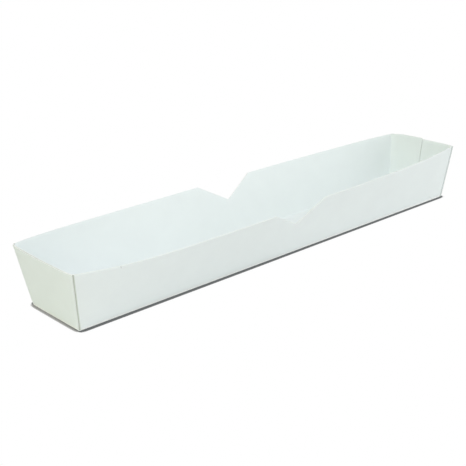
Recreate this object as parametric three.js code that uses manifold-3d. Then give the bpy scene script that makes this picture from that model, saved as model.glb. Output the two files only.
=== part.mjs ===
// A long, narrow paper food tray, folded and glued from one sheet of plain white board.
// The two long walls lean outwards, most of all in the middle of their length, and each has a
// V-notch in its top edge. At both ends a long wall turns round the corner into a glue flap,
// which is stuck to the inside of the end panel.
//
// Millimetres, +Z up, +X along the tray, +Y across it. The origin is in the middle of the
// underside. Every height and reach is measured to the outer face of the board, and the board
// has its thickness inwards from there.

import * as THREE from 'three';
import { mergeGeometries, mergeVertices } from 'three/addons/utils/BufferGeometryUtils.js';
import Module from 'manifold-3d';

const wasm = await Module();
wasm.setup();

const { degToRad, lerp, smoothstep } = THREE.MathUtils;

// Floor and walls
const floorLength = 296.5; // from the fold of one end panel to the fold of the other
const floorWidth = 44; // from the fold of one long wall to the fold of the other
const cornerHeight = 35; // of the top of the four corners above the underside
const endFlare = 4.9; // that the top of an end panel stands out past its fold
const cornerFlare = 5.2; // that the top of a corner stands out sideways past the wall's fold
const middleLean = degToRad(22); // of the long walls from upright, in the middle of the tray
const bendStart = degToRad(14); // above the fold, from a bottom corner, where a wall starts to bend
const endBulge = 1.2; // that the top edge of an end panel is pushed out in its middle

// Board and folds
const board = 0.46; // thickness of the board
const foldInside = 0.5; // radius on the inside of every fold
const gluePress = 0.05; // that a glue flap is pressed into the board of the end panel
const panelOverhang = 0.2; // that the side edge of an end panel stands out past the long wall
const floorOverlap = 4; // length of floor that is made with each end panel

// Glue flaps
const flapGap = 1.6; // between the free edges of the two flaps on one end panel
const flapTaper = degToRad(7); // that the lower edge of a flap rises towards its free edge

// V-notch in each long wall
const notchWidth = 42; // at the top edge
const notchDepth = 12.4; // down the slope of the wall
const notchRoot = 1.2; // radius at the bottom of the V
const notchMargin = 3; // that the cutter stands out past the board on every side

// Steps in the grids that the board is laid out on
const lengthSteps = 36;
const wallSteps = 7;
const foldSteps = 4;
const flapSteps = 4;
const panelSteps = 10;
const notchSteps = 8;

// Worked out from the sizes above
const halfLength = floorLength / 2;
const halfWidth = floorWidth / 2;
const foldOutside = foldInside + board;
const endLean = Math.atan2(endFlare, cornerHeight);
const cornerLean = Math.atan2(cornerFlare, cornerHeight);
const wallSlope = Math.hypot(cornerHeight, cornerFlare);
const endSlope = Math.hypot(cornerHeight, endFlare);
const bendEnd = Math.atan2(wallSlope, -endFlare);
const wallTangent = tangentLength(Math.PI / 2 - middleLean);
const endTangent = tangentLength(Math.PI / 2 - endLean);
const flapInset = (board - gluePress) / Math.cos(endLean);

// How far a fold of the board's own radius, turning through an angle, reaches along each panel.
function tangentLength(turn) {
  return foldOutside * Math.tan(turn / 2);
}

// Lean of a long wall at a point `along` from the nearer bottom corner and `up` the slope. The
// board bends like a cone with its tip in that corner, until it meets the end panel.
function wallLean(along, up) {
  const turned = (Math.atan2(up, along) - bendStart) / (bendEnd - bendStart);
  const part = THREE.MathUtils.clamp(turned, 0, 1);
  const share = (smoothstep(part, 0, 1) + part * part) / 2;
  return lerp(middleLean, cornerLean, share);
}

// A point on the long side of a section across the tray, `up` the slope of the wall.
function wallSpot(x, up) {
  const lean = wallLean(halfLength - Math.abs(x), up);
  return {
    out: halfWidth + up * Math.sin(lean),
    height: up * Math.cos(lean),
    inOut: -Math.cos(lean),
    inHeight: Math.sin(lean),
  };
}

// A point on a fold that turns up from the flat floor, `part` of the way round it.
function foldSpot(edge, tangent, lean, part) {
  const turn = Math.PI / 2 - lean;
  const radius = tangent / Math.tan(turn / 2);
  const angle = turn * part;
  return {
    out: edge - tangent + radius * Math.sin(angle),
    height: radius * (1 - Math.cos(angle)),
    inOut: -Math.sin(angle),
    inHeight: Math.cos(angle),
  };
}

// How far an end panel is pushed out at a height above the floor, `across` from its middle.
function bulgeAt(across, height) {
  const rise = Math.max(height, 0) / cornerHeight;
  const reach = halfWidth + cornerFlare * rise;
  return endBulge * rise * Math.max(1 - (across / reach) ** 2, 0);
}

// A rectangular grid of the board's surface, laid out by a function of the column and row.
function surface(columns, rows, place) {
  const grid = new THREE.PlaneGeometry(columns, rows, columns, rows);
  const spots = grid.attributes.position;
  for (let i = 0; i < spots.count; i += 1) {
    const column = Math.round(spots.getX(i) + columns / 2);
    const row = Math.round(spots.getY(i) + rows / 2);
    const spot = place(column, row);
    spots.setXYZ(i, spot.x, spot.y, spot.z);
  }
  grid.deleteAttribute('normal');
  grid.deleteAttribute('uv');
  return grid;
}

// Both faces of a piece of board. `place` gives the point at a column and row on the outer
// face, or on the inner face where its third value is 1.
function faces(columns, rows, place) {
  return [
    surface(columns, rows, (column, row) => place(column, row, 0)),
    surface(columns, rows, (column, row) => place(columns - column, row, 1)),
  ];
}

// The cut edge of a piece of board along one row, or along one column, of its grid.
function rowEdge(columns, row, place, atTop) {
  const turned = (column) => (atTop ? column : columns - column);
  return surface(columns, 1, (column, depth) => place(turned(column), row, depth));
}

function columnEdge(column, firstRow, lastRow, place, atEnd) {
  const rows = lastRow - firstRow;
  const turned = (row) => (atEnd ? lastRow - row : firstRow + row);
  return surface(rows, 1, (row, depth) => place(column, turned(row), depth));
}

// One closed solid from pieces of surface that meet edge to edge.
function solidFrom(pieces) {
  const merged = mergeVertices(mergeGeometries(pieces), 1e-4);
  const mesh = new wasm.Mesh({
    numProp: 3,
    vertProperties: new Float32Array(merged.attributes.position.array),
    triVerts: new Uint32Array(merged.index.array),
  });
  return new wasm.Manifold(mesh);
}

// The floor, its long folds and the two long walls, as one strip of board from rim to rim.
// Rows count from the rim at -Y, and columns from the end at -X.
const middleRow = wallSteps + foldSteps + 1;
const firstWallRow = middleRow - foldSteps - 1;
const lastWallRow = middleRow + foldSteps + 1;
const allRows = 2 * middleRow;

function upSlope(step) {
  return lerp(wallTangent, wallSlope, step / wallSteps);
}

// Where a long wall ends at the corner, and its fold into the flap begins.
function wallEnd(up) {
  return halfLength + endFlare * (up / wallSlope) - flapInset - foldOutside;
}

function stripSpot(x, steps) {
  if (steps === 0) {
    return { out: 0, height: 0, inOut: 0, inHeight: 1 };
  }
  if (steps <= foldSteps + 1) {
    const lean = wallLean(halfLength - Math.abs(x), wallTangent);
    return foldSpot(halfWidth, wallTangent, lean, (steps - 1) / foldSteps);
  }
  return wallSpot(x, upSlope(steps - foldSteps - 1));
}

function stripPlace(column, row, depth) {
  const side = Math.sign(row - middleRow);
  const steps = Math.abs(row - middleRow);
  const up = steps > foldSteps ? upSlope(steps - foldSteps - 1) : 0;
  const share = Math.sin((Math.PI / 2) * ((2 * column) / lengthSteps - 1));
  const x = share * wallEnd(up);
  const spot = stripSpot(x, steps);
  const y = side * (spot.out + depth * board * spot.inOut);
  return new THREE.Vector3(x, y, spot.height + depth * board * spot.inHeight);
}

function stripPieces() {
  // A row runs along +X and rows are counted towards +Y, so the inner face looks up and the
  // outer face is laid out the other way round.
  const turned = (column, row, depth) => stripPlace(lengthSteps - column, row, depth);
  return [
    ...faces(lengthSteps, allRows, turned),
    rowEdge(lengthSteps, 0, turned, false),
    rowEdge(lengthSteps, allRows, turned, true),
    columnEdge(0, firstWallRow, lastWallRow, turned, false),
    columnEdge(lengthSteps, firstWallRow, lastWallRow, turned, true),
  ];
}

// The fold round one corner and the glue flap behind the end panel. `end` and `side` are the
// signs of X and Y at that corner.
const flapColumns = foldSteps + flapSteps;

function flapPlace(end, side, column, row, depth) {
  const up = upSlope(row);
  const wall = wallSpot(wallEnd(up), up);
  const angle = (Math.PI / 2) * Math.min(column / foldSteps, 1);
  const foldEdge = wall.out - foldOutside * (1 - Math.cos(angle));
  const along = Math.max(column - foldSteps, 0) / flapSteps;
  const across = lerp(foldEdge, flapGap / 2, along);
  const lift = (foldEdge - across) * Math.tan(flapTaper) * (1 - row / wallSteps);
  const height = wall.height + lift;
  const reach = wallEnd(up) + foldOutside * Math.sin(angle);
  const bulge = bulgeAt(across, height) * Math.sin(angle);
  const x = reach + lift * Math.tan(endLean) + bulge;
  const inX = -Math.cos(endLean) * Math.sin(angle);
  const inY = wall.inOut * Math.cos(angle);
  const inZ = lerp(wall.inHeight, Math.sin(endLean), Math.sin(angle));
  return new THREE.Vector3(
    end * (x + depth * board * inX),
    side * (across + depth * board * inY),
    height + depth * board * inZ,
  );
}

function flapPieces(end, side) {
  const outwards = end * side < 0;
  const turned = (column, row, depth) => {
    const counted = outwards ? column : flapColumns - column;
    return flapPlace(end, side, counted, row, depth);
  };
  const freeColumn = outwards ? flapColumns : 0;
  return [
    ...faces(flapColumns, wallSteps, turned),
    rowEdge(flapColumns, 0, turned, false),
    rowEdge(flapColumns, wallSteps, turned, true),
    columnEdge(freeColumn, 0, wallSteps, turned, outwards),
  ];
}

// Half the width of an end panel at a height: it follows the corner of the long walls.
function panelReach(height) {
  const fold = halfWidth - wallTangent;
  const corner = halfWidth + cornerFlare * (height / cornerHeight) + panelOverhang;
  const risen = Math.min(height / foldOutside, 1);
  return lerp(fold, corner, Math.sqrt(1 - (1 - risen) ** 2));
}

// An end panel with its fold and the strip of floor before the fold, for the end at +X or -X.
const panelRows = 1 + foldSteps + wallSteps;

function panelSpot(row) {
  if (row === 0) {
    return { out: halfLength - floorOverlap, height: 0, inOut: 0, inHeight: 1 };
  }
  if (row <= foldSteps + 1) {
    return foldSpot(halfLength, endTangent, endLean, (row - 1) / foldSteps);
  }
  const up = lerp(endTangent, endSlope, (row - foldSteps - 1) / wallSteps);
  return {
    out: halfLength + up * Math.sin(endLean),
    height: up * Math.cos(endLean),
    inOut: -Math.cos(endLean),
    inHeight: Math.sin(endLean),
  };
}

function panelPlace(end, column, row, depth) {
  const spot = panelSpot(row);
  const across = ((2 * column) / panelSteps - 1) * panelReach(spot.height);
  const x = spot.out + bulgeAt(across, spot.height) + depth * board * spot.inOut;
  return new THREE.Vector3(end * x, across, spot.height + depth * board * spot.inHeight);
}

function panelPieces(end) {
  const turned = (column, row, depth) => {
    const counted = end > 0 ? column : panelSteps - column;
    return panelPlace(end, counted, row, depth);
  };
  return [
    ...faces(panelSteps, panelRows, turned),
    rowEdge(panelSteps, 0, turned, false),
    rowEdge(panelSteps, panelRows, turned, true),
    columnEdge(0, 0, panelRows, turned, false),
    columnEdge(panelSteps, 0, panelRows, turned, true),
  ];
}

// The V that is cut from a long wall, with a round root, standing square to the wall.
function notchCutter(side) {
  const run = notchWidth / 2;
  const drop = notchDepth - notchRoot;
  const flank = Math.acos(notchRoot / Math.hypot(drop, run)) - Math.atan2(drop, run);
  const root = wallSlope - notchDepth + notchRoot;
  const topEdge = wallSlope + notchMargin;
  const topRun = run + notchMargin * Math.tan(flank);
  const outline = new THREE.Shape();
  outline.moveTo(topRun, topEdge);
  outline.lineTo(-topRun, topEdge);
  outline.absarc(0, root, notchRoot, Math.PI + flank, 2 * Math.PI - flank, false);
  outline.closePath();
  const depth = board + 2 * notchMargin;
  const cutter = new THREE.ExtrudeGeometry(outline, {
    depth,
    bevelEnabled: false,
    curveSegments: notchSteps,
  });
  cutter.translate(0, 0, -depth / 2);
  const alongTray = new THREE.Vector3(1, 0, 0);
  const upWall = new THREE.Vector3(0, side * Math.sin(middleLean), Math.cos(middleLean));
  const squareToWall = new THREE.Vector3().crossVectors(alongTray, upWall);
  cutter.applyMatrix4(new THREE.Matrix4().makeBasis(alongTray, upWall, squareToWall));
  cutter.translate(0, side * halfWidth, 0);
  cutter.deleteAttribute('normal');
  cutter.deleteAttribute('uv');
  return solidFrom([cutter]);
}

function foldedTray() {
  const corners = [[1, 1], [1, -1], [-1, 1], [-1, -1]];
  const flaps = corners.flatMap(([end, side]) => flapPieces(end, side));
  const wrapped = solidFrom([...stripPieces(), ...flaps]);
  return wrapped
    .add(solidFrom(panelPieces(1)))
    .add(solidFrom(panelPieces(-1)))
    .subtract(notchCutter(1))
    .subtract(notchCutter(-1));
}

function geometryOf(solid) {
  const mesh = solid.getMesh();
  const geometry = new THREE.BufferGeometry();
  geometry.setAttribute('position', new THREE.BufferAttribute(mesh.vertProperties, 3));
  geometry.setIndex(new THREE.BufferAttribute(mesh.triVerts, 1));
  geometry.computeVertexNormals();
  return geometry;
}

const whiteBoard = new THREE.MeshStandardMaterial({
  color: 0xf1f3f1,
  roughness: 0.72,
  metalness: 0,
});

const tray = new THREE.Mesh(geometryOf(foldedTray()), whiteBoard);
tray.name = 'folded_tray';

const foodTray = new THREE.Group();
foodTray.add(tray);

export default foodTray;
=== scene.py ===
# Looks of a long, narrow paper food tray, folded and glued from one sheet of white board.

import math

import bmesh
import bpy
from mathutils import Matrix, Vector


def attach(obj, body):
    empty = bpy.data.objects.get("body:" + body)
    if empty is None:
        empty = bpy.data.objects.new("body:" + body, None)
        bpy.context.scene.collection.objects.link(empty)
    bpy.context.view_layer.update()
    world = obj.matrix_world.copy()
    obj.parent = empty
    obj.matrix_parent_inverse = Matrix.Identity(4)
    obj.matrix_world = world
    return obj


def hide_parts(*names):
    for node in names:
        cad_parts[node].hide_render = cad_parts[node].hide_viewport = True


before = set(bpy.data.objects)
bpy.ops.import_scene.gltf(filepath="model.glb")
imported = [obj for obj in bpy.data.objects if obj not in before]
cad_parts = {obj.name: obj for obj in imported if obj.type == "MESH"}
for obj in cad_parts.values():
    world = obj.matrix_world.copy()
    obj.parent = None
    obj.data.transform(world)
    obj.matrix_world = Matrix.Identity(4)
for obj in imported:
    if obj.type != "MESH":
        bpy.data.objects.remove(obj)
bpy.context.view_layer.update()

# Sizes of the tray, in millimetres. Heights and reaches are to the outer face of the board.
# The leans are from upright: of the long walls in the middle, and of the straighter far half of
# the front wall, which begins within LEAN_CHANGE of the middle.
FLOOR_LENGTH = 296.5
FLOOR_WIDTH = 44.0
CORNER_HEIGHT = 35.0
END_FLARE = 4.9
CORNER_FLARE = 5.2
MIDDLE_LEAN = math.radians(22)
STIFF_LEAN = math.radians(17.5)
LEAN_CHANGE = 30.0
BEND_START = math.radians(18)
BEND_GROWTH = 1.5
END_BULGE = 0.75
EDGE_CURL = 1.0
CURL_SHARPNESS = 8
BOARD = 0.46
FOLD_INSIDE = 0.2
CORNER_ROUND = 1.3
GLUE_LINE = 0.02
NOTCH_WIDTH = 42.0
NOTCH_DEPTH = 12.4
NOTCH_ROOT = 1.6
FLAP_GAP = 0.4
FLAP_CLEAR = 1.0
FLAP_TAPER = math.tan(math.radians(7))
EDGE_ROUND = 0.07

# How high the painted shade on the inner bottom, standing in for the shade deep in the tray,
# reaches into the folds round it
BOTTOM_REACH = 2.0

# Angles between faces past which an edge of the board gets rounded, and past which it looks sharp
ROUNDED_ANGLE = math.radians(50)
SHARP_ANGLE = math.radians(40)

# How far the side edge of an end panel stands past the corner of the long wall, by end and side
PANEL_EDGE = {(1, 1): -0.3, (1, -1): 0.2, (-1, 1): -1.6, (-1, -1): -0.7}

# How far the top of each glue flap stands above the top of its end panel, by end and side
FLAP_RISE = {(1, 1): 0.8, (1, -1): -0.35, (-1, 1): 0.35, (-1, -1): 0.3}

# How soon along a flap its bottom edge is clear of the floor and its top edge has risen, as turns
# of its length, and the share that it has risen at the end of the fold round the corner
CLEAR_RATE = 6
RISE_RATE = 3
RISE_AT_CORNER = 0.3

# A small dent in the top edge of the front wall, which fades quickly below the edge
NICK_PLACE = -127.4
NICK_WIDTH = 0.9
NICK_DEPTH = 0.45
NICK_FADE = 12

# Where round a corner fold the painted shade of the groove starts, as a share, and how soon it is
# fully dark
GROOVE_START = 0.3
GROOVE_RUN = 0.35

# How dark the spot at the near rear corner is, as a share of the dent's
CORNER_SPOT = 0.6

# How far each corner is out of true along, across and up, at the top and at the floor, by end
# and side, and where along the tray that begins
TOP_SHIFT = {
    (1, 1): (-0.3, -0.8, -0.8),
    (1, -1): (1.2, 1.8, 0.8),
    (-1, 1): (-0.9, 1.2, -0.3),
    (-1, -1): (0.2, 0.2, -0.7),
}
FLOOR_SHIFT = {
    (1, 1): (0.0, 0.0, 0.0),
    (1, -1): (0.8, 0.0, 0.0),
    (-1, 1): (-0.7, 0.0, 0.0),
    (-1, -1): (0.0, 0.0, 0.0),
}
SHIFT_START = 30.0

# Steps in the grid that the board is laid out on
LENGTH_STEPS = 120
FLOOR_STEPS = 12
WALL_STEPS = 22
FOLD_STEPS = 6
PANEL_STEPS = 18

# Decimals that a place on the grid is rounded to, because the grid's own points are slightly off
GRID_DECIMALS = 4

MM = 0.001
HALF_LENGTH = FLOOR_LENGTH / 2
HALF_WIDTH = FLOOR_WIDTH / 2
FOLD_OUTSIDE = FOLD_INSIDE + BOARD
END_LEAN = math.atan2(END_FLARE, CORNER_HEIGHT)
CORNER_LEAN = math.atan2(CORNER_FLARE, CORNER_HEIGHT)
WALL_SLOPE = math.hypot(CORNER_HEIGHT, CORNER_FLARE)
END_SLOPE = math.hypot(CORNER_HEIGHT, END_FLARE)
BEND_END = math.atan2(WALL_SLOPE, -END_FLARE)
WALL_TANGENT = FOLD_OUTSIDE * math.tan((math.pi / 2 - MIDDLE_LEAN) / 2)
END_TANGENT = FOLD_OUTSIDE * math.tan((math.pi / 2 - END_LEAN) / 2)
FLAP_INSET = (BOARD + GLUE_LINE) / math.cos(END_LEAN)

HALF_COLUMNS = LENGTH_STEPS // 2 + FOLD_STEPS + PANEL_STEPS
HALF_ROWS = FLOOR_STEPS // 2 + FOLD_STEPS + WALL_STEPS


def lerp(a, b, share):
    return a + (b - a) * share


def clamp(value):
    return min(max(value, 0.0), 1.0)


def smooth(part):
    return part * part * (3 - 2 * part)


# The form of the folded board


def wall_lean(x, up, side):
    """Lean of a long wall, which bends like a cone with its tip in the nearer bottom corner.

    The front wall stands a little straighter past its notch, as the folded board came out.
    """
    cone = math.atan2(up, HALF_LENGTH - abs(x))
    part = clamp((cone - BEND_START) / (BEND_END - BEND_START))
    straighter = smooth(clamp(0.5 + x / LEAN_CHANGE / 2)) if side < 0 else 0.0
    return lerp(lerp(MIDDLE_LEAN, STIFF_LEAN, straighter), CORNER_LEAN, part**BEND_GROWTH)


def fold_spot(edge, tangent, lean, part):
    """A point on a fold that turns up from the floor: how far out it is, and how high."""
    turn = math.pi / 2 - lean
    radius = tangent / math.tan(turn / 2)
    angle = turn * part
    return edge - tangent + radius * math.sin(angle), radius * (1 - math.cos(angle))


def wall_end(up):
    """Where a long wall ends and its fold round the corner begins."""
    return HALF_LENGTH + END_FLARE * up / WALL_SLOPE - FLAP_INSET - CORNER_ROUND


def rim_slope(x):
    """Length of the long wall's slope at a place along the tray, with the V-notch taken off."""
    run = NOTCH_WIDTH / 2
    if abs(x) >= run:
        return WALL_SLOPE
    sharp = NOTCH_DEPTH + NOTCH_ROOT / 4
    cut = math.hypot(sharp * x / run, NOTCH_ROOT / 4)
    return WALL_SLOPE - sharp + min(cut, sharp)


def nick_drop(x, side, part):
    """How far the dent lowers the top edge of the front wall."""
    reach = clamp(1 - abs(x - NICK_PLACE) / (NICK_WIDTH / 2))
    return NICK_DEPTH * reach * part**NICK_FADE if side < 0 else 0.0


def bulge_at(across, height):
    """How far an end panel is pushed out: evenly over its width, and curling in at its edges."""
    rise = max(height, 0) / CORNER_HEIGHT
    share = min(abs(across) / (HALF_WIDTH + CORNER_FLARE * rise), 1)
    curl = EDGE_CURL * (1 - share**CURL_SHARPNESS) * math.sqrt(rise)
    return END_BULGE * rise * (1 - share**2) + curl


def panel_reach(height, end, side):
    """Half the width of an end panel, which follows the corner of the long wall."""
    up = height * WALL_SLOPE / CORNER_HEIGHT
    lean = wall_lean(end * wall_end(up), up, side)
    corner = HALF_WIDTH + up * math.sin(lean) + PANEL_EDGE[end, side]
    risen = min(height / FOLD_OUTSIDE, 1)
    return lerp(HALF_WIDTH - WALL_TANGENT, corner, math.sqrt(1 - (1 - risen) ** 2))


def count_out(steps, first, second, third):
    """Which of three stretches a step away from the middle is in, and how far along it."""
    for stretch, length in enumerate((first, second, third)):
        if steps <= length or stretch == 2:
            return stretch, min(steps / length, 1)
        steps -= length


def strip_spot(share, row_kind, part, side):
    """A point of the floor, of the fold beside it or of the long wall."""
    if row_kind == 0:
        return share * (HALF_LENGTH - END_TANGENT), (HALF_WIDTH - WALL_TANGENT) * part, 0.0
    if row_kind == 1:
        end = lerp(HALF_LENGTH - END_TANGENT, wall_end(WALL_TANGENT), part)
        x = share * end
        lean = wall_lean(x, WALL_TANGENT, side)
        return x, *fold_spot(HALF_WIDTH, WALL_TANGENT, lean, part)
    rim = rim_slope(share * wall_end(WALL_SLOPE))
    up = lerp(WALL_TANGENT, rim, part)
    x = share * wall_end(up)
    up -= nick_drop(x, side, part)
    lean = wall_lean(x, up, side)
    return x, HALF_WIDTH + up * math.sin(lean), up * math.cos(lean)


def panel_spot(column_kind, along, part, end, side):
    """A point of the fold at the end of the floor or of the end panel, for a share of its width."""
    if column_kind == 1:
        out, height = fold_spot(HALF_LENGTH, END_TANGENT, END_LEAN, along)
    else:
        up = lerp(END_TANGENT, END_SLOPE, along)
        out, height = HALF_LENGTH + up * math.sin(END_LEAN), up * math.cos(END_LEAN)
    across = part * panel_reach(height, end, side)
    return out + bulge_at(across, height), across, height


def flap_spot(column_kind, along, part, end, side):
    """A point of the fold round a corner or of the glue flap behind the end panel."""
    up = lerp(WALL_TANGENT, WALL_SLOPE, part)
    lean = wall_lean(end * wall_end(up), up, side)
    wall_out, height = HALF_WIDTH + up * math.sin(lean), up * math.cos(lean)
    angle = math.pi / 2 * (along if column_kind == 1 else 1)
    across = wall_out - CORNER_ROUND * (1 - math.cos(angle))
    free = along if column_kind == 2 else 0.0
    across = lerp(across, FLAP_GAP / 2, free)
    lift = (FLAP_CLEAR * clamp(free * CLEAR_RATE) + (wall_out - across) * FLAP_TAPER) * (1 - part)
    risen = free * RISE_RATE if column_kind == 2 else along * RISE_AT_CORNER
    lift += FLAP_RISE[end, side] * part * clamp(risen)
    height += lift
    out = wall_end(up) + CORNER_ROUND * math.sin(angle) + lift * math.tan(END_LEAN)
    return out + bulge_at(across, height) * math.sin(angle), across, height


def out_of_true(spot):
    """The small shift, in every direction, of a folded tray that isn't quite square."""
    end = -1 if spot.x < 0 else 1
    near_end = smooth(clamp((abs(spot.x) - SHIFT_START) / (HALF_LENGTH - SHIFT_START)))
    rise = spot.z / CORNER_HEIGHT
    rear = clamp(0.5 + spot.y / 2 / (HALF_WIDTH + CORNER_FLARE * rise))
    front = Vector(FLOOR_SHIFT[end, -1]).lerp(Vector(TOP_SHIFT[end, -1]), rise)
    back = Vector(FLOOR_SHIFT[end, 1]).lerp(Vector(TOP_SHIFT[end, 1]), rise)
    return front.lerp(back, rear) * near_end


def board_place(column, row):
    """Where a point of the flat grid lies on the outer face of the folded tray."""
    end = -1 if column < 0 else 1
    side = -1 if row < 0 else 1
    lengths = (LENGTH_STEPS / 2, FOLD_STEPS, PANEL_STEPS)
    widths = (FLOOR_STEPS / 2, FOLD_STEPS, WALL_STEPS)
    column_kind, along = count_out(abs(column), *lengths)
    row_kind, part = count_out(abs(row), *widths)
    if column_kind == 0:
        share = math.sin(math.pi / 2 * along)
        out, across, height = strip_spot(end * share, row_kind, part, side)
    elif row_kind == 0:
        out, across, height = panel_spot(column_kind, along, part, end, side)
        out *= end
    else:
        up_flap = part if row_kind == 2 else 0.0
        out, across, height = flap_spot(column_kind, along, up_flap, end, side)
        out *= end
    spot = Vector((out, side * across, height))
    return (spot + out_of_true(spot)) * MM


def fold_highlight_mask(column, row):
    """1 on a fold beside the floor, which gets a painted highlight, and 0 one step away from it."""
    end_fold = LENGTH_STEPS / 2 + FOLD_STEPS / 2
    side_fold = FLOOR_STEPS / 2 + FOLD_STEPS / 2
    past_end = abs(column) > LENGTH_STEPS / 2
    away = abs(abs(row) - side_fold)
    if past_end:
        away = abs(abs(column) - end_fold) if abs(row) < side_fold else FOLD_STEPS
    return clamp(1 - max(away - FOLD_STEPS / 2, 0))


def groove_shade_mask(column, row):
    """How much painted shade a point of a corner fold gets, by how deep it lies in the groove
    behind the edge of the end panel.
    """
    if abs(row) < FLOOR_STEPS / 2 + FOLD_STEPS:
        return 0.0
    round_corner = (abs(column) - LENGTH_STEPS / 2) / FOLD_STEPS
    return smooth(clamp((round_corner - GROOVE_START) / GROOVE_RUN))


def dark_spot_mask(column, row):
    """1 at the middle of the dent in the front wall, which is coloured dark grey, and less at the
    near rear corner.
    """
    if row == -HALF_ROWS and round(column - column_at(NICK_PLACE), 1) == 0:
        return 1.0
    corner = -LENGTH_STEPS / 2 - FOLD_STEPS / 2
    near_corner = clamp(1 - abs(column - corner) / FOLD_STEPS * 2)
    return CORNER_SPOT * near_corner if row == HALF_ROWS else 0.0


def column_at(x):
    """The column of the grid that crosses the top edge of a long wall at a place."""
    share = x / wall_end(WALL_SLOPE)
    return math.asin(share) * 2 / math.pi * LENGTH_STEPS / 2


def add_column(bm, column):
    bmesh.ops.bisect_plane(
        bm,
        geom=bm.verts[:] + bm.edges[:] + bm.faces[:],
        dist=1e-5,
        plane_co=(column, 0, 0),
        plane_no=(1, 0, 0),
    )


def flat_blank():
    """The board laid flat, with a slit on both sides of each glue flap."""
    bm = bmesh.new()
    bmesh.ops.create_grid(
        bm,
        x_segments=2 * HALF_COLUMNS,
        y_segments=2 * HALF_ROWS,
        size=1,
    )
    bmesh.ops.scale(bm, vec=(HALF_COLUMNS, HALF_ROWS, 1), verts=bm.verts)
    run = NOTCH_WIDTH / 2
    near_root = NOTCH_ROOT / 2
    for x in (-run, -near_root, near_root, run):
        add_column(bm, column_at(x))
    for step in (-1, -0.5, 0, 0.5, 1):
        add_column(bm, column_at(NICK_PLACE + step * NICK_WIDTH / 2))
    slits = []
    for face in bm.faces:
        middle = face.calc_center_median()
        past_floor = abs(middle.x) > LENGTH_STEPS / 2
        in_fold = FLOOR_STEPS / 2 < abs(middle.y) < FLOOR_STEPS / 2 + FOLD_STEPS
        if past_floor and in_fold:
            slits.append(face)
    bmesh.ops.delete(bm, geom=slits, context="FACES")
    return bm


def folded_board():
    """The blank folded up, still without thickness, with its faces pointing outwards."""
    bm = flat_blank()
    folds = bm.verts.layers.float.new("fold")
    grooves = bm.verts.layers.float.new("groove")
    dark_spots = bm.verts.layers.float.new("dark_spot")
    for vert in bm.verts:
        column, row = round(vert.co.x, GRID_DECIMALS), round(vert.co.y, GRID_DECIMALS)
        vert[folds] = fold_highlight_mask(column, row)
        vert[grooves] = groove_shade_mask(column, row)
        vert[dark_spots] = dark_spot_mask(column, row)
        vert.co = board_place(column, row)
    bmesh.ops.reverse_faces(bm, faces=bm.faces)
    for face in bm.faces:
        face.smooth = True
    mesh = bpy.data.meshes.new("paper_tray")
    bm.to_mesh(mesh)
    bm.free()
    return mesh


def clean_mesh(mesh):
    """Sharp edges where the board is cut, and masks for what only one face of the board shows."""
    bm = bmesh.new()
    bm.from_mesh(mesh)
    for edge in bm.edges:
        edge.smooth = edge.calc_face_angle(0) < SHARP_ANGLE
    outer_only = [bm.verts.layers.float[name] for name in ("fold", "groove")]
    bottom = bm.verts.layers.float.new("bottom")
    # The bottom mask is 1 on the up-facing inner bottom, which gets painted shade
    for vert in bm.verts:
        facing_up = clamp(2 * vert.normal.z - 1)
        vert[bottom] = facing_up if vert.co.z < BOTTOM_REACH * MM else 0.0
        outwards = Vector((vert.co.x, vert.co.y * HALF_LENGTH / HALF_WIDTH, 0))
        if vert.normal.dot(outwards) < 0:
            for layer in outer_only:
                vert[layer] = 0.0
    bm.to_mesh(mesh)
    bm.free()


def make_tray(white_board, cut_edge):
    sheet = bpy.data.objects.new("paper_tray_sheet", folded_board())
    bpy.context.collection.objects.link(sheet)
    sheet.data.materials.append(white_board)
    sheet.data.materials.append(cut_edge)
    thick = sheet.modifiers.new("board", "SOLIDIFY")
    thick.thickness = BOARD * MM
    thick.offset = -1
    thick.use_even_offset = True
    thick.material_offset_rim = 1
    soft = sheet.modifiers.new("cut_edges", "BEVEL")
    soft.width = EDGE_ROUND * MM
    soft.segments = 2
    soft.limit_method = "ANGLE"
    soft.angle_limit = ROUNDED_ANGLE
    shaped = sheet.evaluated_get(bpy.context.evaluated_depsgraph_get())
    mesh = bpy.data.meshes.new_from_object(shaped)
    clean_mesh(mesh)
    tray = bpy.data.objects.new("paper_tray", mesh)
    bpy.context.collection.objects.link(tray)
    bpy.data.objects.remove(sheet)
    return tray


# Materials


def add_node(nodes, kind, **inputs):
    node = nodes.new(kind)
    for name, value in inputs.items():
        node.inputs[name.replace("_", " ")].default_value = value
    return node


def board_grain_group():
    """The fibres and the soft mottle that the faces and the cut edges of the board share."""
    group = bpy.data.node_groups.new("board_grain", "ShaderNodeTree")
    face = group.interface
    face.new_socket("Vector", in_out="INPUT", socket_type="NodeSocketVector")
    face.new_socket("Fibres Per Metre", in_out="INPUT", socket_type="NodeSocketFloat")
    face.new_socket("Mottles Per Metre", in_out="INPUT", socket_type="NodeSocketFloat")
    face.new_socket("Fibre", in_out="OUTPUT", socket_type="NodeSocketFloat")
    face.new_socket("Mottle", in_out="OUTPUT", socket_type="NodeSocketFloat")
    nodes, links = group.nodes, group.links
    given = nodes.new("NodeGroupInput")
    made = nodes.new("NodeGroupOutput")
    fibre = add_node(nodes, "ShaderNodeTexNoise", Detail=5.0, Roughness=0.62, Distortion=0.6)
    mottle = add_node(nodes, "ShaderNodeTexNoise", Detail=3.0, Roughness=0.55)
    links.new(given.outputs["Vector"], fibre.inputs["Vector"])
    links.new(given.outputs["Vector"], mottle.inputs["Vector"])
    links.new(given.outputs["Fibres Per Metre"], fibre.inputs["Scale"])
    links.new(given.outputs["Mottles Per Metre"], mottle.inputs["Scale"])
    links.new(fibre.outputs["Fac"], made.inputs["Fibre"])
    links.new(mottle.outputs["Fac"], made.inputs["Mottle"])
    return group


def new_material(name):
    material = bpy.data.materials.new(name)
    material.use_nodes = True
    return material, material.node_tree.nodes, material.node_tree.links


# The sockets of a Mix node that hold colours, which share their names with its other sockets
FIRST_COLOUR = 6
SECOND_COLOUR = 7
MIXED_COLOUR = 2


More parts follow.
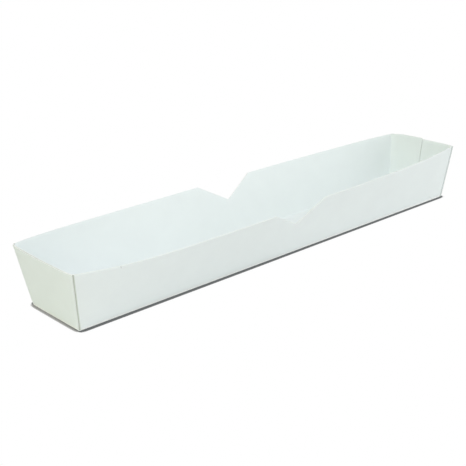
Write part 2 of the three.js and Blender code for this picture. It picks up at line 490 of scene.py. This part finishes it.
def colour_mix(nodes, links, share, first, second):
    mix = nodes.new("ShaderNodeMix")
    mix.data_type = "RGBA"
    for number, colour in ((FIRST_COLOUR, first), (SECOND_COLOUR, second)):
        socket = mix.inputs[number]
        if isinstance(colour, tuple):
            socket.default_value = colour
        else:
            links.new(colour, socket)
    links.new(share, mix.inputs[0])
    return mix.outputs[MIXED_COLOUR]


def ramp(nodes, links, value, low, high, out_low=0.0, out_high=1.0):
    spread = nodes.new("ShaderNodeMapRange")
    spread.inputs["From Min"].default_value = low
    spread.inputs["From Max"].default_value = high
    spread.inputs["To Min"].default_value = out_low
    spread.inputs["To Max"].default_value = out_high
    links.new(value, spread.inputs["Value"])
    return spread.outputs["Result"]


def mask(nodes, name):
    """A mask that the tray's mesh holds for each of its points."""
    read = nodes.new("ShaderNodeAttribute")
    read.attribute_name = name
    return read.outputs["Fac"]


def board_grain(nodes, links, grain, fibres, mottles):
    """The shared grain, at so many fibres and mottles to the metre."""
    place = nodes.new("ShaderNodeTexCoord")
    board = nodes.new("ShaderNodeGroup")
    board.node_tree = grain
    board.inputs["Fibres Per Metre"].default_value = fibres
    board.inputs["Mottles Per Metre"].default_value = mottles
    links.new(place.outputs["Object"], board.inputs["Vector"])
    return board.outputs["Fibre"], board.outputs["Mottle"]


WHITE = (0.82, 0.877, 0.872, 1)
WHITE_SHADE = (0.805, 0.86, 0.857, 1)
BOTTOM_PAINTED_SHADE = (0.755, 0.805, 0.80, 1)
# A painted highlight for the rounded folds beside the floor
FOLD_PAINTED_HIGHLIGHT = (0.96, 0.97, 0.96, 1)
GROOVE_SHADE = (0.50, 0.54, 0.48, 1)
DARK_SPOT_GREY = (0.26, 0.25, 0.23, 1)
EDGE_PALE = (0.86, 0.90, 0.875, 1)
EDGE_DARK = (0.74, 0.76, 0.74, 1)

# The values that nearly all of a noise lies between
NOISE_LOW = 0.3
NOISE_HIGH = 0.7


def white_board_material(grain):
    material, nodes, links = new_material("white_board")
    shader = nodes["Principled BSDF"]
    fibre, mottle = board_grain(nodes, links, grain, fibres=1500, mottles=90)
    clouds = ramp(nodes, links, mottle, NOISE_LOW, NOISE_HIGH)
    face = colour_mix(nodes, links, clouds, WHITE, WHITE_SHADE)
    # Painted shade: the inner bottom is darkened where shade falls deep in the tray
    inside = colour_mix(nodes, links, mask(nodes, "bottom"), face, BOTTOM_PAINTED_SHADE)
    # Painted highlight: the folds beside the floor are made paler, as where a rounded fold catches
    # light
    fold_highlight_share = ramp(nodes, links, mask(nodes, "fold"), 0.0, 1.0, 0.0, 0.8)
    fold_highlighted = colour_mix(nodes, links, fold_highlight_share, inside, FOLD_PAINTED_HIGHLIGHT)
    # Painted shade in the groove between a corner fold and the edge of the end panel
    shaded = colour_mix(nodes, links, mask(nodes, "groove"), fold_highlighted, GROOVE_SHADE)
    # A dark grey spot at the middle of the dent and, fainter, at the near rear corner
    colour = colour_mix(nodes, links, mask(nodes, "dark_spot"), shaded, DARK_SPOT_GREY)
    links.new(colour, shader.inputs["Base Color"])
    rough = ramp(nodes, links, fibre, NOISE_LOW, NOISE_HIGH, 0.56, 0.68)
    links.new(rough, shader.inputs["Roughness"])
    shader.inputs["Specular IOR Level"].default_value = 0.35
    fine = add_node(nodes, "ShaderNodeBump", Strength=0.25, Distance=0.00002)
    links.new(fibre, fine.inputs["Height"])
    wavy = add_node(nodes, "ShaderNodeBump", Strength=0.35, Distance=0.00025)
    links.new(mottle, wavy.inputs["Height"])
    links.new(fine.outputs["Normal"], wavy.inputs["Normal"])
    links.new(wavy.outputs["Normal"], shader.inputs["Normal"])
    return material


def cut_edge_material(grain):
    material, nodes, links = new_material("cut_edge")
    shader = nodes["Principled BSDF"]
    fibre, mottle = board_grain(nodes, links, grain, fibres=3500, mottles=300)
    fuzz = ramp(nodes, links, fibre, 0.35, 0.65)
    paper = colour_mix(nodes, links, fuzz, EDGE_PALE, EDGE_DARK)
    colour = colour_mix(nodes, links, mask(nodes, "dark_spot"), paper, DARK_SPOT_GREY)
    links.new(colour, shader.inputs["Base Color"])
    rough = ramp(nodes, links, mottle, NOISE_LOW, NOISE_HIGH, 0.82, 0.95)
    links.new(rough, shader.inputs["Roughness"])
    shader.inputs["Specular IOR Level"].default_value = 0.15
    torn = add_node(nodes, "ShaderNodeBump", Strength=0.6, Distance=0.00004)
    links.new(fibre, torn.inputs["Height"])
    links.new(torn.outputs["Normal"], shader.inputs["Normal"])
    return material


# The stage: a white floor that keeps the thin shadow under the tray, and soft light

FLOOR_REACH = 3.0
SEEN_WHITE = (1, 1, 1, 1)

# The contact shadow: how near the tray it lies, its tone, and how open the floor is to the sky
# where it is full and where it has gone. It is greyer and thinner along the near end panel.
CONTACT_REACH = 0.0028
CONTACT_DARK = (0.14, 0.15, 0.15, 1)
CONTACT_GREY = (0.30, 0.30, 0.28, 1)
CONTACT_FULL = 0.80
CONTACT_GONE = 0.95
END_THINNER = 0.09
END_CHANGE = 0.8


def seen_directly(nodes, links):
    """1 for what the camera sees, also in a gloss or through something clear, and 0 for light."""
    rays = nodes.new("ShaderNodeLightPath")
    seen = rays.outputs["Is Camera Ray"]
    for kind in ("Is Glossy Ray", "Is Transmission Ray"):
        either = nodes.new("ShaderNodeMath")
        either.operation = "MAXIMUM"
        links.new(seen, either.inputs[0])
        links.new(rays.outputs[kind], either.inputs[1])
        seen = either.outputs[0]
    return seen


def floor_material():
    material, nodes, links = new_material("white_floor")
    out = nodes["Material Output"]
    shader = nodes["Principled BSDF"]
    shader.inputs["Base Color"].default_value = (0.85, 0.85, 0.85, 1)
    shader.inputs["Roughness"].default_value = 0.9
    shader.inputs["Specular IOR Level"].default_value = 0.1
    near = nodes.new("ShaderNodeAmbientOcclusion")
    near.samples = 16
    near.inputs["Distance"].default_value = CONTACT_REACH
    place = nodes.new("ShaderNodeTexCoord")
    axes = nodes.new("ShaderNodeSeparateXYZ")
    links.new(place.outputs["Object"], axes.inputs["Vector"])
    near_end = -HALF_LENGTH * MM
    past_end = (-HALF_LENGTH - END_CHANGE) * MM
    end_side = ramp(nodes, links, axes.outputs["X"], near_end, past_end)
    contact = colour_mix(nodes, links, end_side, CONTACT_DARK, CONTACT_GREY)
    lift = nodes.new("ShaderNodeMath")
    lift.operation = "MULTIPLY_ADD"
    links.new(end_side, lift.inputs[0])
    lift.inputs[1].default_value = END_THINNER
    links.new(near.outputs["AO"], lift.inputs[2])
    open_share = ramp(nodes, links, lift.outputs[0], CONTACT_FULL, CONTACT_GONE)
    colour = colour_mix(nodes, links, open_share, contact, SEEN_WHITE)
    seen = nodes.new("ShaderNodeEmission")
    links.new(colour, seen.inputs["Color"])
    mix = nodes.new("ShaderNodeMixShader")
    links.new(seen_directly(nodes, links), mix.inputs[0])
    links.new(shader.outputs["BSDF"], mix.inputs[1])
    links.new(seen.outputs["Emission"], mix.inputs[2])
    links.new(mix.outputs["Shader"], out.inputs["Surface"])
    return material


def make_floor():
    bm = bmesh.new()
    bmesh.ops.create_grid(bm, x_segments=1, y_segments=1, size=FLOOR_REACH)
    mesh = bpy.data.meshes.new("floor")
    bm.to_mesh(mesh)
    bm.free()
    floor = bpy.data.objects.new("floor", mesh)
    bpy.context.collection.objects.link(floor)
    floor.data.materials.append(floor_material())


ROOM_LIGHT = (0.54, 0.54, 0.5, 1)


def make_world():
    world = bpy.data.worlds.new("white_room")
    world.use_nodes = True
    nodes, links = world.node_tree.nodes, world.node_tree.links
    background = nodes["Background"]
    colour = colour_mix(nodes, links, seen_directly(nodes, links), ROOM_LIGHT, SEEN_WHITE)
    links.new(colour, background.inputs["Color"])
    bpy.context.scene.world = world


def soft_lamp(name, place, width, watts, colour):
    lamp = bpy.data.lights.new(name, "AREA")
    lamp.shape = "SQUARE"
    lamp.size = width
    lamp.energy = watts
    lamp.color = colour
    stand = bpy.data.objects.new(name, lamp)
    stand.location = place
    stand.rotation_euler = (-Vector(place)).to_track_quat("-Z", "Y").to_euler()
    bpy.context.collection.objects.link(stand)


def make_lamps():
    soft_lamp("key", (-0.5, -0.5, 1.3), 1.0, 11.1, (0.92, 0.9, 1.0))
    soft_lamp("front", (1.1, -0.9, 0.5), 0.9, 5.1, (0.94, 0.97, 1.0))
    soft_lamp("warm_fill", (-1.4, -0.1, 0.35), 0.9, 1.6, (0.85, 1.0, 0.0))


# The camera, fitted to the corners, rims and notches of the tray in the photograph

CAMERA_PLACE = Vector((-394.75, -420.07, 236.56)) * MM
CAMERA_TURN = (68.308, 0.633, -41.739)
CAMERA_LENS = 78.21


def make_camera():
    data = bpy.data.cameras.new("camera")
    data.sensor_width = 36
    data.lens = CAMERA_LENS
    data.clip_start = 0.01
    data.clip_end = 20
    camera = bpy.data.objects.new("camera", data)
    camera.location = CAMERA_PLACE
    camera.rotation_euler = [math.radians(angle) for angle in CAMERA_TURN]
    bpy.context.collection.objects.link(camera)
    bpy.context.scene.camera = camera


grain = board_grain_group()
tray = make_tray(white_board_material(grain), cut_edge_material(grain))
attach(tray, "root")
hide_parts("folded_tray")

make_floor()
make_world()
make_lamps()
make_camera()

scene = bpy.context.scene
scene.view_settings.view_transform = "Standard"
